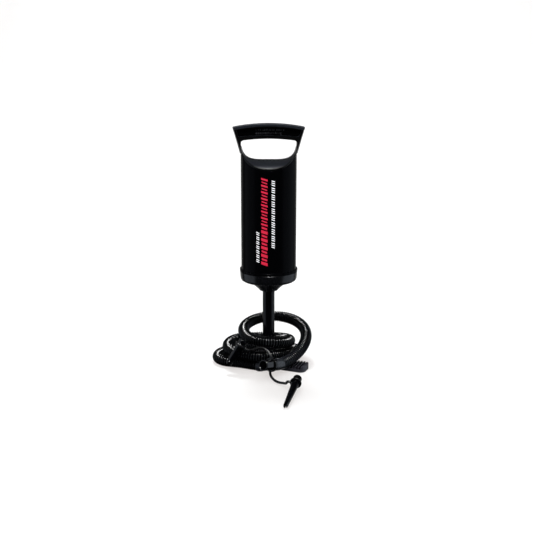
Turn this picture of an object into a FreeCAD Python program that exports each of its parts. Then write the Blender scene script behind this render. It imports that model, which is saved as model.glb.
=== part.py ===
import FreeCAD, Part
import math
import os
import re
from FreeCAD import Vector, Placement, Rotation

# Double action hand pump.
# Frame: origin under the rod axis at ground level, +Z up along the rod, +X along
# the handle grip, -Y toward the side the hose end points to.  Millimetres.
# The foot base is turned about the rod axis by base_yaw against the handle.

doc = FreeCAD.newDocument("double_action_hand_pump")
sheet = doc.addObject("Spreadsheet::Sheet", "Sizes")

SIZES = [
    # rod
    ("rod_or", 9.2), ("rod_ir", 7.6), ("rod_bot", 20.0), ("rod_top", 208.0),
    ("tube_or", 4.5), ("tube_ir", 3.5), ("tube_bot", 9.6), ("tube_top", 214.4),
    # barrel
    ("barrel_or", 41.7), ("barrel_ir", 39.7), ("barrel_end_or", 41.3), ("barrel_bot", 141.75),
    ("lip_or", 44.0), ("lip_bot", 154.35), ("lip_top", 156.7),
    # bottom cap
    ("cap_or", 43.1), ("cap_rim_or", 43.8), ("cap_ir", 41.42), ("cap_bot", 138.0), ("cap_floor", 141.5), ("cap_rim", 154.0),
    ("cap_round", 5.6), ("cone_top_r", 30.6), ("cone_low_r", 17.0), ("cone_bot_r", 14.6), ("cone_bot", 122.6),
    ("sleeve_or", 20.0), ("sleeve_top", 147.6), ("seal_pocket_r", 15.6), ("seal_pocket_z", 139.6),
    ("bush_or", 12.5), ("bush_ir", 9.26), ("bush_bot", 125.4),
    # saddle channel in the handle
    ("saddle_z", 226.0), ("saddle_r", 96.7), ("lip_t", 2.2), ("lip_gap", 0.45), ("shell_t", 3.0),
    ("skirt_or", 39.66), ("skirt_ir", 37.2), ("skirt_bot", 303.0), ("saddle_side_z", 332.6),
    ("grip_top", 375.3), ("grip_half", 14.0), ("arm_half", 17.0), ("grip_web", 3.6),
    # piston
    ("piston_or", 38.6), ("piston_bot", 198.0), ("piston_top", 222.0), ("piston_floor", 201.0),
    ("cover_or", 34.8), ("cover_bot", 219.5), ("seal_lo", 207.0), ("seal_hi", 213.0),
    ("seal_groove_r", 36.4), ("seal_or", 39.68), ("piston_in_r", 33.2), ("hub_r", 12.6),
    # valves
    ("valve_y", 22.0), ("valve_r", 9.0), ("valve_t", 1.2), ("valve_seat_r", 6.0), ("valve_lift", 2.0),
    ("valve_gap", 0.06), ("post_in_r", 9.3), ("post_out_r", 10.7), ("hook_in_r", 7.9), ("hook_t", 0.9),
    # foot base
    ("base_yaw", -22.7), ("pedal_half_len", 64.0), ("pedal_half_wid", 14.6), ("pedal_round", 9.0),
    ("pedal_t", 5.4), ("rib_top", 8.8), ("rib_w", 2.3), ("rib_pitch", 4.7), ("rib_first", 27.0),
    ("disc_r", 21.5), ("disc_top", 13.0), ("boss_bot_r", 17.4), ("boss_top_r", 14.2), ("boss_top", 43.6),
    ("cover_r", 19.0), ("cover_t", 2.4), ("chamber_r", 15.4), ("chamber_top", 9.4),
    ("port_x", 11.0), ("port_z", 9.6), ("port_or", 6.8), ("port_ir", 4.2), ("port_y", -31.6), ("port_end_x", 1.0), ("rear_z", 10.6),
    ("barb_or", 6.7), ("barb_len", 6.5),
    # hose
    ("hose_or", 8.9), ("hose_ir", 7.2), ("cuff_or", 9.5), ("cuff_ir", 8.96),
    ("fit_or", 8.3), ("fit_ir", 6.55), ("fit_len", 24.0), ("fit_flange_or", 9.9), ("fit_barb_len", 12.5),
    ("ring_ir", 8.42), ("ring_or", 10.9), ("ring_at", 19.6), ("ring_w", 4.4), ("cord_r", 1.9),
]
ROW = {}
for i, (name, value) in enumerate(SIZES):
    row = i + 1
    sheet.set("A%d" % row, name)
    sheet.set("B%d" % row, str(value))
    sheet.setAlias("B%d" % row, name)
    ROW[name] = float(value)
doc.recompute()

FUNCS = {"sin", "cos", "tan", "sqrt", "abs", "deg", "mm", "min", "max"}


def ex(text):
    """Sheet expression from a formula written in plain size names."""
    return re.sub(r"[A-Za-z_]\w*", lambda w: w.group(0) if w.group(0) in FUNCS else "Sizes." + w.group(0), str(text))


def val(name):
    return float(sheet.get(name))


def bind(obj, **props):
    for key, formula in props.items():
        obj.setExpression(key.replace("__", "."), ex(formula))
    return obj


count = [0]


def nm(prefix):
    count[0] += 1
    return "%s_%03d" % (prefix, count[0])


def cyl(r, z0, z1, x=0, y=0, label=None):
    o = doc.addObject("Part::Cylinder", label or nm("cyl"))
    bind(o, Radius=r, Height="(%s) - (%s)" % (z1, z0), Placement__Base__x=x, Placement__Base__y=y, Placement__Base__z=z0)
    return o


def cone(r0, r1, z0, z1):
    o = doc.addObject("Part::Cone", nm("cone"))
    bind(o, Radius1=r0, Radius2=r1, Height="(%s) - (%s)" % (z1, z0), Placement__Base__z=z0)
    return o


def box(x0, x1, y0, y1, z0, z1):
    o = doc.addObject("Part::Box", nm("box"))
    bind(o, Length="(%s) - (%s)" % (x1, x0), Width="(%s) - (%s)" % (y1, y0), Height="(%s) - (%s)" % (z1, z0),
         Placement__Base__x=x0, Placement__Base__y=y0, Placement__Base__z=z0)
    return o


def pipe_x(r, x0, x1, y, z):
    o = doc.addObject("Part::Cylinder", nm("cx"))
    o.Placement = Placement(Vector(0, 0, 0), Rotation(Vector(0, 1, 0), 90))
    bind(o, Radius=r, Height="(%s) - (%s)" % (x1, x0), Placement__Base__x=x0, Placement__Base__y=y, Placement__Base__z=z)
    return o


def pipe_y(r, y0, y1, x, z):
    o = doc.addObject("Part::Cylinder", nm("cy"))
    o.Placement = Placement(Vector(0, 0, 0), Rotation(Vector(1, 0, 0), -90))
    bind(o, Radius=r, Height="(%s) - (%s)" % (y1, y0), Placement__Base__x=x, Placement__Base__y=y0, Placement__Base__z=z)
    return o


def fuse(parts, label=None):
    o = doc.addObject("Part::MultiFuse", label or nm("fuse"))
    o.Shapes = parts
    return o


def cut(base, tool, label=None):
    if isinstance(tool, list):
        tool = tool[0] if len(tool) == 1 else fuse(tool)
    o = doc.addObject("Part::Cut", label or nm("cut"))
    o.Base = base
    o.Tool = tool
    return o


def common(parts, label=None):
    o = doc.addObject("Part::MultiCommon", label or nm("common"))
    o.Shapes = parts
    return o


def feature(shape, label=None):
    o = doc.addObject("Part::Feature", label or nm("shape"))
    o.Shape = shape
    return o


def rev_body(label, pts):
    """Body turned from a closed (radius, height) outline; every corner follows the sheet."""
    body = doc.addObject("PartDesign::Body", label)
    plane = [f for f in body.Origin.OriginFeatures if f.Role == "XZ_Plane"][0]
    sk = body.newObject("Sketcher::SketchObject", label + "_profile")
    sk.AttachmentSupport = (plane, "")
    sk.MapMode = "FlatFace"
    xy = []
    for r, z in pts:
        xy.append((number_of(r), number_of(z)))
    n = len(xy)
    for i in range(n):
        a, b = xy[i], xy[(i + 1) % n]
        sk.addGeometry(Part.LineSegment(Vector(a[0], a[1], 0), Vector(b[0], b[1], 0)), False)
    import Sketcher
    for i in range(n):
        sk.addConstraint(Sketcher.Constraint("Coincident", i, 2, (i + 1) % n, 1))
    for i in range(n):
        k = sk.addConstraint(Sketcher.Constraint("DistanceX", -1, 1, i, 1, xy[i][0]))
        sk.renameConstraint(k, "r%d" % i)
        sk.setExpression("Constraints.r%d" % i, ex(pts[i][0]))
        k = sk.addConstraint(Sketcher.Constraint("DistanceY", -1, 1, i, 1, xy[i][1]))
        sk.renameConstraint(k, "z%d" % i)
        sk.setExpression("Constraints.z%d" % i, ex(pts[i][1]))
    rev = body.newObject("PartDesign::Revolution", label + "_turn")
    rev.Profile = sk
    rev.ReferenceAxis = (sk, ["V_Axis"])
    rev.Angle = 360.0
    body.Tip = rev
    return body


def number_of(formula):
    """Number that a formula of size names, numbers and + - * / ( ) stands for."""
    tokens = re.findall(r"[A-Za-z_]\w*|\d+\.?\d*|[-+*/()]", str(formula))
    pos = [0]

    def peek():
        return tokens[pos[0]] if pos[0] < len(tokens) else None

    def take():
        pos[0] += 1
        return tokens[pos[0] - 1]

    def atom():
        t = take()
        if t == "(":
            v = total()
            take()
            return v
        if t == "-":
            return -atom()
        if t == "+":
            return atom()
        if t[0].isdigit():
            return float(t)
        return ROW[t]

    def term():
        v = atom()
        while peek() in ("*", "/"):
            v = v * atom() if take() == "*" else v / atom()
        return v

    def total():
        v = term()
        while peek() in ("+", "-"):
            v = v + term() if take() == "+" else v - term()
        return v

    return total()


def edges_where(shape, test):
    return [i + 1 for i, e in enumerate(shape.Edges) if test(e)]


def rounded(base, pick, radius, label=None):
    """Part::Fillet on the edges that pass the test, all with one radius."""
    doc.recompute()
    ids = edges_where(base.Shape, pick)
    o = doc.addObject("Part::Fillet", label or nm("fillet"))
    o.Base = base
    o.Edges = [(i, radius, radius) for i in ids]
    doc.recompute()
    if o.Shape.isNull() or not o.Shape.isValid() or "Invalid" in o.State:
        doc.removeObject(o.Name)
        return base
    return o


def circle_edge(e, r, z=None, tol=0.05):
    c = e.Curve
    return c.__class__.__name__ == "Circle" and abs(c.Radius - r) < tol and (z is None or abs(c.Center.z - z) < tol)


yaw = val("base_yaw")
BASE_PL = Placement(Vector(0, 0, 0), Rotation(Vector(0, 0, 1), yaw))


def from_base(x, y, z):
    return BASE_PL.multVec(Vector(x, y, z))


EXPORT = []


def keep(obj, label, turned=False):
    obj.Label = label
    if turned:
        obj.Placement = BASE_PL
        obj.setExpression("Placement.Rotation.Angle", "Sizes.base_yaw")
    EXPORT.append(obj)
    return obj


# ---------------------------------------------------------------- barrel bottom
barrel_ring = rev_body("barrel_ring", [
    ("barrel_ir", "barrel_bot"), ("barrel_end_or", "barrel_bot"), ("barrel_end_or", "lip_bot"), ("lip_or", "lip_bot"),
    ("lip_or", "lip_top"), ("barrel_or + 0.4", "lip_top + 0.9"), ("barrel_or", "lip_top + 2.2"), ("barrel_or", "345"), ("barrel_ir", "345")])

# channel under the grip: a U outline swept round an axis along X, so the floor is crowned
HALF_U = [(0, 0.0), (14, 0.05), (22, 0.75), (27.9, 2.2), (33.0, 4.9), (36.3, 8.3), (38.3, 11.6), (39.7, 15.2),
          (40.7, 19.0), (41.3, 23.0), (41.5, 27.0)]


def channel_tool(offset, top=44.0):
    """Solid filling the channel, its walls moved outward by offset."""
    zc = val("saddle_z")
    r0 = val("saddle_r")
    pts = []
    n = len(HALF_U)
    for i in range(n):
        x, z = HALF_U[i]
        a = HALF_U[max(i - 1, 0)]
        b = HALF_U[min(i + 1, n - 1)]
        tx, tz = b[0] - a[0], b[1] - a[1]
        ln = math.hypot(tx, tz)
        nx, nz = tz / ln, -tx / ln
        if i == 0:
            nx, nz = 0.0, -1.0
        if i == n - 1:
            nx, nz = 1.0, 0.0
        pts.append((x + nx * offset, r0 + z + nz * offset))
    right = [Vector(x, 0, zc + r) for x, r in pts]
    left = [Vector(-x, 0, zc + r) for x, r in reversed(pts)]
    spl = Part.BSplineCurve()
    spl.interpolate(left[:-1] + right)
    a = right[-1]
    b = Vector(a.x, 0, zc + r0 + top)
    c = Vector(-a.x, 0, zc + r0 + top)
    d = left[0]
    wire = Part.Wire([spl.toShape(), Part.makeLine(a, b), Part.makeLine(b, c), Part.makeLine(c, d)])
    face = Part.Face(wire)
    face.rotate(Vector(0, 0, zc), Vector(1, 0, 0), -34)
    solid = face.revolve(Vector(0, 0, zc), Vector(1, 0, 0), 68)
    return feature(solid)


side_z = "saddle_side_z"
ch_barrel = channel_tool(val("lip_t") + val("lip_gap"))
barrel_hi = box("-60", "60", "-60", "60", side_z + " - lip_gap", "360")
keep(cut(barrel_ring, [ch_barrel, barrel_hi], "barrel_tube"), "barrel_tube")

# ---------------------------------------------------------------- handle
CUP = [(41.7, 318.0), (41.95, 324.0), (42.35, 328.5), (43.0, 332.5), (44.3, 337.5), (45.8, 342.8), (47.3, 348.2),
       (49.0, 354.2), (50.6, 359.6), (52.0, 364.4), (53.4, 368.6)]


def handle_cup():
    spl = Part.BSplineCurve()
    spl.interpolate([Vector(r, 0, z) for r, z in CUP])
    low = Vector(val("barrel_or"), 0, 318.0)
    bot = Vector(val("barrel_or"), 0, val("skirt_bot"))
    top = Vector(CUP[-1][0] + 0.3, 0, 371.0)
    wire = Part.Wire([
        Part.makeLine(Vector(0, 0, val("skirt_bot")), bot), Part.makeLine(bot, low), spl.toShape(),
        Part.makeLine(Vector(CUP[-1][0], 0, CUP[-1][1]), top), Part.makeLine(top, Vector(top.x, 0, 380)),
        Part.makeLine(Vector(top.x, 0, 380), Vector(0, 0, 380)), Part.makeLine(Vector(0, 0, 380), Vector(0, 0, val("skirt_bot")))])
    return Part.Face(wire).revolve(Vector(0, 0, 0), Vector(0, 0, 1), 360)


def arc3(a, b, c):
    return Part.Arc(Vector(*a), Vector(*b), Vector(*c)).toShape()


def top_limit():
    """Region below the crowned top of the grip."""
    t = val("grip_top")
    w = Part.Wire([
        arc3((-60, -30, t - 6.6), (0, -30, t), (60, -30, t - 6.6)),
        Part.makeLine(Vector(60, -30, t - 6.6), Vector(60, -30, 290)), Part.makeLine(Vector(60, -30, 290), Vector(-60, -30, 290)),
        Part.makeLine(Vector(-60, -30, 290), Vector(-60, -30, t - 6.6))])
    return Part.Face(w).extrude(Vector(0, 60, 0))


def side_limit():
    """Depth of arms and grip seen from the side."""
    g, a = val("grip_half"), val("arm_half")
    half = [(a + 0.6, 300), (a + 0.6, 326), (a, 332.6), (a - 1.7, 340), (g + 0.4, 348), (g, 354), (g, 382)]
    pts = [Vector(-60, y, z) for y, z in half] + [Vector(-60, -y, z) for y, z in reversed(half)]
    return Part.Face(Part.makePolygon(pts + [pts[0]])).extrude(Vector(120, 0, 0))


UNDER = [(0, 354.4), (36.5, 352.1)]


def opening_upper():
    """Finger opening below the grip, straight through in Y, with rounded top corners."""
    hw = 41.3
    z_arc = 352.0
    r = 4.5
    w = Part.Wire([
        arc3((-(hw - r), -30, z_arc), (0, -30, 354.4), (hw - r, -30, z_arc)),
        arc3((hw - r, -30, z_arc), (hw - r + r * 0.7071, -30, z_arc - r * 0.2929 - 0.25), (hw, -30, z_arc - r - 0.4)),
        Part.makeLine(Vector(hw, -30, z_arc - r - 0.4), Vector(hw, -30, 341)),
        Part.makeLine(Vector(hw, -30, 341), Vector(-hw, -30, 341)),
        Part.makeLine(Vector(-hw, -30, 341), Vector(-hw, -30, z_arc - r - 0.4)),
        arc3((-hw, -30, z_arc - r - 0.4), (-(hw - r + r * 0.7071), -30, z_arc - r * 0.2929 - 0.25), (-(hw - r), -30, z_arc))])
    return Part.Face(w).extrude(Vector(0, 60, 0))


def channel_face_solid():
    """Channel tool cut off under the grip."""
    t = channel_tool(0.0, 44.0)
    low = feature(Part.makeBox(130, 130, 60, Vector(-65, -65, 288)))
    return common([t, low])


def grip_pocket(sign):
    """Long hollow in the front or back of the grip, leaving the flanges and a centre web."""
    t = val("grip_top")
    zt0, zt1 = t - 4.3, t - 4.3 - 3.9
    zb0, zb1 = 359.0, 357.1
    y0 = sign * val("grip_web")
    y1 = sign * 30
    xo, xi = 47.6, 44.4
    w = Part.Wire([
        arc3((-xo, y0, zt1), (0, y0, zt0), (xo, y0, zt1)),
        Part.makeLine(Vector(xo, y0, zt1), Vector(xi, y0, zb1)),
        arc3((xi, y0, zb1), (0, y0, zb0), (-xi, y0, zb1)),
        Part.makeLine(Vector(-xi, y0, zb1), Vector(-xo, y0, zt1))])
    s = Part.Face(w).extrude(Vector(0, y1 - y0, 0))
    ids = [e for e in s.Edges if e.BoundBox.YLength > 20]
    try:
        f = s.makeFillet(2.2, ids)
        if f.isValid() and not f.isNull():
            s = f
    except Exception:
        pass
    return feature(s)


cup = feature(handle_cup())
frame_block = common([cup, feature(top_limit()), feature(side_limit())])
ch0 = channel_face_solid()
opening_top = feature(opening_upper())
handle_arch = cut(frame_block, [ch0, opening_top, grip_pocket(-1), grip_pocket(1)])


def long_edge(e):
    """Front and back rims of arms and grip, outside the pockets."""
    b = e.BoundBox
    if b.ZMax < 333.5 or b.ZMin < 318:
        return False
    y = abs((b.YMin + b.YMax) / 2)
    if y < 12.0 or (b.YLength > 6 and b.ZLength < 12):
        return False
    return True


handle_arch_r = rounded(handle_arch, long_edge, 1.6, "handle_arch_round")
plug = cut(cyl("barrel_or", "skirt_bot", "346"), [channel_face_solid(), box("-60", "60", "-60", "60", "346 - 0.01", "380")])
handle_raw = fuse([handle_arch_r, plug])
# room for the barrel wall below the lip, and the hollow inside of the skirt
ring_out = cut(cyl("90", "skirt_bot - 5", side_z), cyl("skirt_or", "skirt_bot - 6", "370"))
barrel_room = cut(ring_out, channel_tool(val("lip_t")))
hollow = cut(cyl("skirt_ir", "skirt_bot - 5", "350"), [channel_tool(val("shell_t")), box("-60", "60", "-60", "60", side_z, "360")])
handle_cut = cut(handle_raw, [barrel_room, hollow])
# shallow oval with four dimples pressed into the channel floor
floor_z = val("saddle_z") + val("saddle_r")
oval_cutters = []
ring_o = Part.Face(Part.Wire(Part.Ellipse(Vector(0, -10, floor_z - 1.15), 15.5, 4.6).toShape())).extrude(Vector(0, 0, 6))
ring_i = Part.Face(Part.Wire(Part.Ellipse(Vector(0, -10, floor_z - 1.15), 14.7, 3.8).toShape())).extrude(Vector(0, 0, 6))
oval_cutters.append(feature(ring_o.cut(ring_i)))
for k in range(4):
    oval_cutters.append(feature(Part.makeSphere(1.5, Vector(-7.5 + 5.0 * k, -10.6, floor_z + 0.35))))
keep(cut(handle_cut, oval_cutters, "handle"), "handle")

# ---------------------------------------------------------------- bottom cap and gland
cap = rev_body("bottom_cap", [
    ("rod_or + 0.5", "cone_bot"), ("cone_bot_r - 0.7", "cone_bot"), ("cone_bot_r", "cone_bot + 0.8"), ("cone_bot_r", "cone_bot + 2.6"),
    ("cone_low_r - 0.5", "cone_bot + 2.9"), ("cone_low_r", "cone_bot + 3.5"),
    ("cone_top_r", "cap_bot"), ("cap_or - cap_round", "cap_bot"), ("cap_or - 0.62 * cap_round", "cap_bot + 0.08 * cap_round"),
    ("cap_or - 0.29 * cap_round", "cap_bot + 0.29 * cap_round"), ("cap_or - 0.08 * cap_round", "cap_bot + 0.62 * cap_round"),
    ("cap_or", "cap_bot + cap_round"), ("cap_rim_or", "cap_rim - 0.7"), ("cap_rim_or - 0.6", "cap_rim"), ("cap_ir", "cap_rim"),
    ("cap_ir", "cap_floor"), ("cap_ir - 0.05", "cap_floor"), ("cap_ir - 0.05", "cap_floor - 1.2"), ("barrel_ir - 0.05", "cap_floor - 1.2"),
    ("barrel_ir - 0.05", "cap_floor"), ("sleeve_or", "cap_floor"), ("sleeve_or", "sleeve_top"), ("seal_pocket_r", "sleeve_top"),
    ("seal_pocket_r", "seal_pocket_z"), ("bush_or + 0.02", "seal_pocket_z"), ("bush_or + 0.02", "bush_bot - 0.05"), ("rod_or + 0.5", "bush_bot - 0.05")])
keep(cap, "bottom_cap")

bush = rev_body("guide_bush", [
    ("bush_ir", "bush_bot"), ("bush_or", "bush_bot"), ("bush_or", "seal_pocket_z - 0.1"), ("bush_ir + 0.3", "seal_pocket_z - 0.1"),
    ("bush_ir", "seal_pocket_z - 0.5")])
keep(bush, "guide_bush")

seal = rev_body("rod_lip_seal", [
    ("rod_or + 0.03", "seal_pocket_z + 0.15"), ("seal_pocket_r - 0.25", "seal_pocket_z + 0.15"), ("seal_pocket_r - 0.25", "seal_pocket_z + 4.4"),
    ("seal_pocket_r - 1.7", "seal_pocket_z + 4.4"), ("seal_pocket_r - 2.4", "seal_pocket_z + 2.4"), ("rod_or + 2.2", "seal_pocket_z + 2.4"),
    ("rod_or + 1.2", "seal_pocket_z + 4.4"), ("rod_or + 0.03", "seal_pocket_z + 4.4")])
keep(seal, "rod_lip_seal")

nut = rev_body("gland_nut_turned", [
    ("rod_or + 0.5", "seal_pocket_z + 4.6"), ("seal_pocket_r - 0.05", "seal_pocket_z + 4.6"), ("seal_pocket_r - 0.05", "sleeve_top + 0.05"),
    ("sleeve_or - 1", "sleeve_top + 0.05"), ("sleeve_or - 1", "sleeve_top + 2.4"), ("sleeve_or - 1.5", "sleeve_top + 2.9"),
    ("rod_or + 1.3", "sleeve_top + 2.9"), ("rod_or + 0.5", "sleeve_top + 2.1")])
slots = [box("-2", "2", "rod_or + 2.2", "sleeve_or", "sleeve_top + 1.4", "sleeve_top + 4"),
         box("-2", "2", "-sleeve_or", "-(rod_or + 2.2)", "sleeve_top + 1.4", "sleeve_top + 4")]
keep(cut(nut, slots, "gland_nut"), "gland_nut")

cap_ring = doc.addObject("Part::Torus", "cap_o_ring")
bind(cap_ring, Radius1="(cap_ir + barrel_ir) / 2 - 0.05", Radius2="0.68", Placement__Base__z="cap_floor - 0.48")
keep(cap_ring, "cap_o_ring")

# ---------------------------------------------------------------- rod and inner tube
keep(rev_body("rod_outer_tube", [
    ("rod_ir", "rod_bot"), ("rod_or - 0.4", "rod_bot"), ("rod_or", "rod_bot + 0.4"), ("rod_or", "rod_top - 0.4"),
    ("rod_or - 0.4", "rod_top"), ("rod_ir", "rod_top")]), "rod_outer_tube")
keep(rev_body("rod_inner_tube", [
    ("tube_ir", "tube_bot"), ("tube_or", "tube_bot"), ("tube_or", "tube_top"), ("tube_ir", "tube_top")]), "rod_inner_tube")

# ---------------------------------------------------------------- piston
drum = rev_body("piston_drum", [
    ("tube_or + 0.02", "piston_bot"), ("piston_or - 1", "piston_bot"), ("piston_or", "piston_bot + 1"), ("piston_or", "seal_lo"),
    ("seal_groove_r", "seal_lo"), ("seal_groove_r", "seal_hi"), ("piston_or", "seal_hi"), ("piston_or", "piston_top - 1"),
    ("piston_or - 1", "piston_top"), ("tube_or + 0.02", "piston_top")])
chamber = cut(cyl("piston_in_r", "piston_floor", "cover_bot"),
              [cyl("hub_r", "piston_floor - 1", "cover_bot + 1"), box("-40", "40", "-2", "2", "piston_floor - 1", "cover_bot + 1")])
cover_bosses = []
SCREW_X = 25.5
for sx in (-1, 1):
    for sy in (-1, 1):
        cover_bosses.append((sx * SCREW_X, sy * 17.5))
boss_cyl = [cyl("4.2", "piston_floor", "cover_bot", str(x), str(y)) for x, y in cover_bosses]
chamber_b = cut(chamber, boss_cyl)
cover_recess = cyl("cover_or + 0.15", "cover_bot", "piston_top + 1")
rod_socket = cyl("rod_or + 0.01", "piston_bot - 1", "rod_top + 0.1")
intake_cav = cyl("rod_ir", "rod_top", "rod_top + 2.4")
intake_win = box("-4", "4", "0", "hub_r + 2", "rod_top + 0.1", "rod_top + 2.4")
exhaust_cav = cyl("6.4", "rod_top + 4.6", "rod_top + 9")
exhaust_win = box("-4", "4", "-(hub_r + 2)", "0", "rod_top + 4.6", "rod_top + 9")
seats = [cyl("valve_seat_r", "piston_bot - 1", "piston_floor + 1", "0", "valve_y"), cyl("valve_seat_r", "piston_bot - 1", "piston_floor + 1", "0", "-valve_y")]
pilot = [cyl("1.1", "piston_floor + 6", "cover_bot + 1", str(x), str(y)) for x, y in cover_bosses]
drum_cut = cut(drum, [chamber_b, cover_recess, rod_socket, intake_cav, intake_win, exhaust_cav, exhaust_win] + seats + pilot)


def cage(cx, cy, z, up, turn):
    """Three hooked posts that hold a floating valve disc against its seat."""
    posts = []
    s = 1.0 if up else -1.0
    tall = val("valve_gap") + val("valve_t") + val("valve_lift") + val("hook_t")
    ri, ro, hi, ht = val("post_in_r"), val("post_out_r"), val("hook_in_r"), val("hook_t")
    for k in range(3):
        ang = turn + 120 * k
        a = Part.makeBox(ro - ri, 3.0, tall + 0.5, Vector(ri, -1.5, -0.5))
        b = Part.makeBox(ro - hi, 3.0, ht, Vector(hi, -1.5, tall - ht))
        p = a.fuse(b).removeSplitter()
        if s < 0:
            p = p.mirror(Vector(0, 0, 0), Vector(0, 0, 1))
        p.rotate(Vector(0, 0, 0), Vector(0, 0, 1), ang)
        p.translate(Vector(cx, cy, z))
        posts.append(feature(p))
    return posts


vy = val("valve_y")
keep(fuse([drum_cut] + cage(0, vy, val("piston_bot"), False, 90) + cage(0, -vy, val("piston_floor"), True, 0), "piston_body"), "piston_body", True)

cover = cyl("cover_or", "cover_bot", "piston_top")
cover_cut = cut(cover, [cyl("tube_or + 2.6", "cover_bot - 1", "cover_bot + 0.6"),
                        cyl("valve_seat_r", "cover_bot - 1", "piston_top + 1", "0", "valve_y"),
                        cyl("valve_seat_r", "cover_bot - 1", "piston_top + 1", "0", "-valve_y")]
                + [cyl("1.6", "cover_bot - 1", "piston_top + 1", str(x), str(y)) for x, y in cover_bosses])
keep(fuse([cover_cut] + cage(0, vy, val("piston_top"), True, 90) + cage(0, -vy, val("cover_bot"), False, 0), "piston_cover"), "piston_cover", True)


def screw_at(x, y, z_seat, length, r, head_r, head_h, up=True):
    """Pan head screw with a cross recess."""
    s = Part.makeCylinder(r, length, Vector(0, 0, -length))
    h = Part.makeCylinder(head_r, head_h, Vector(0, 0, 0))
    try:
        top = [e for e in h.Edges if abs(e.BoundBox.ZMin - head_h) < 1e-6 and e.BoundBox.ZLength < 1e-6 and e.Length > 3]
        h = h.makeFillet(head_h * 0.4, top)
    except Exception:
        pass
    c = s.fuse(h).removeSplitter()
    for d in ((head_r * 1.2, 0.5), (0.5, head_r * 1.2)):
        c = c.cut(Part.makeBox(d[0], d[1], head_h, Vector(-d[0] / 2, -d[1] / 2, head_h * 0.45)))
    if not up:
        c.rotate(Vector(0, 0, 0), Vector(1, 0, 0), 180)
    c.translate(Vector(x, y, z_seat))
    return c


screws = feature(Part.makeCompound([screw_at(x, y, val("piston_top") + 0.02, 9.0, 1.08, 2.4, 1.3) for x, y in cover_bosses]), "piston_screws")
keep(screws, "piston_screws", True)

keep(rev_body("piston_seal", [
    ("seal_groove_r + 0.02", "seal_lo + 0.05"), ("seal_or - 0.5", "seal_lo + 0.05"), ("seal_or", "seal_lo + 0.9"), ("seal_or", "seal_lo + 1.9"),
    ("seal_or - 0.7", "(seal_lo + seal_hi) / 2"), ("seal_or", "seal_hi - 1.9"), ("seal_or", "seal_hi - 0.9"), ("seal_or - 0.5", "seal_hi - 0.05"),
    ("seal_groove_r + 0.02", "seal_hi - 0.05")]), "piston_seal")

for label, y, z0 in (("valve_intake_upper", "valve_y", "piston_top + valve_gap"), ("valve_intake_lower", "valve_y", "piston_bot - valve_gap - valve_t"),
                     ("valve_exhaust_upper", "-valve_y", "cover_bot - valve_gap - valve_t"), ("valve_exhaust_lower", "-valve_y", "piston_floor + valve_gap")):
    d = cyl("valve_r", z0, z0 + " + valve_t", "0", y)
    dimple = cyl("2.2", z0 + " - 0.1" if "lower" not in label or "exhaust" not in label else z0 + " + valve_t - 0.35", z0 + " + 0.35" if "lower" not in label or "exhaust" not in label else z0 + " + valve_t + 0.1", "0", y)
    keep(cut(d, dimple, label), label, True)

# ---------------------------------------------------------------- foot base
pedal = doc.addObject("PartDesign::Body", "pedal_plate")
import Sketcher
xy_plane = [f for f in pedal.Origin.OriginFeatures if f.Role == "XY_Plane"][0]
psk = pedal.newObject("Sketcher::SketchObject", "pedal_outline")
psk.AttachmentSupport = (xy_plane, "")
psk.MapMode = "FlatFace"
L, W = val("pedal_half_len"), val("pedal_half_wid")
corners = [(-L, -W), (L, -W), (L, W), (-L, W)]
for i in range(4):
    a, b = corners[i], corners[(i + 1) % 4]
    psk.addGeometry(Part.LineSegment(Vector(a[0], a[1], 0), Vector(b[0], b[1], 0)), False)
for i in range(4):
    psk.addConstraint(Sketcher.Constraint("Coincident", i, 2, (i + 1) % 4, 1))
for i in range(4):
    k = psk.addConstraint(Sketcher.Constraint("DistanceX", -1, 1, i, 1, corners[i][0]))
    psk.renameConstraint(k, "px%d" % i)
    psk.setExpression("Constraints.px%d" % i, ex(("-" if corners[i][0] < 0 else "") + "pedal_half_len"))
    k = psk.addConstraint(Sketcher.Constraint("DistanceY", -1, 1, i, 1, corners[i][1]))
    psk.renameConstraint(k, "py%d" % i)
    psk.setExpression("Constraints.py%d" % i, ex(("-" if corners[i][1] < 0 else "") + "pedal_half_wid"))
pad = pedal.newObject("PartDesign::Pad", "pedal_pad")
pad.Profile = psk
pad.setExpression("Length", "Sizes.rib_top")
pedal.Tip = pad
doc.recompute()
upright = ["Edge%d" % (i + 1) for i, e in enumerate(pad.Shape.Edges) if e.BoundBox.ZLength > 5]
fl = pedal.newObject("PartDesign::Fillet", "pedal_corners")
fl.Base = (pad, upright)
fl.setExpression("Radius", "Sizes.pedal_round")
pedal.Tip = fl
doc.recompute()

# grooves between the tread ribs of the two foot plates
grooves = []
NR = 8
for side in (-1, 1):
    for i in range(NR):
        x0 = "rib_first + rib_w / 2 + %d * rib_pitch" % i
        x1 = "rib_first - rib_w / 2 + %d * rib_pitch" % (i + 1)
        if i == NR - 1:
            continue
        lo, hi = (x0, x1) if side > 0 else ("-(%s)" % x1, "-(%s)" % x0)
        grooves.append(box(lo, hi, "-40", "40", "pedal_t", "40"))
    lo, hi = ("disc_r - 1.5", "rib_first - rib_w / 2") if side > 0 else ("-(rib_first - rib_w / 2)", "-(disc_r - 1.5)")
    grooves.append(box(lo, hi, "-40", "40", "pedal_t", "40"))
pedals_ribbed = cut(pedal, grooves)

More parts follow.
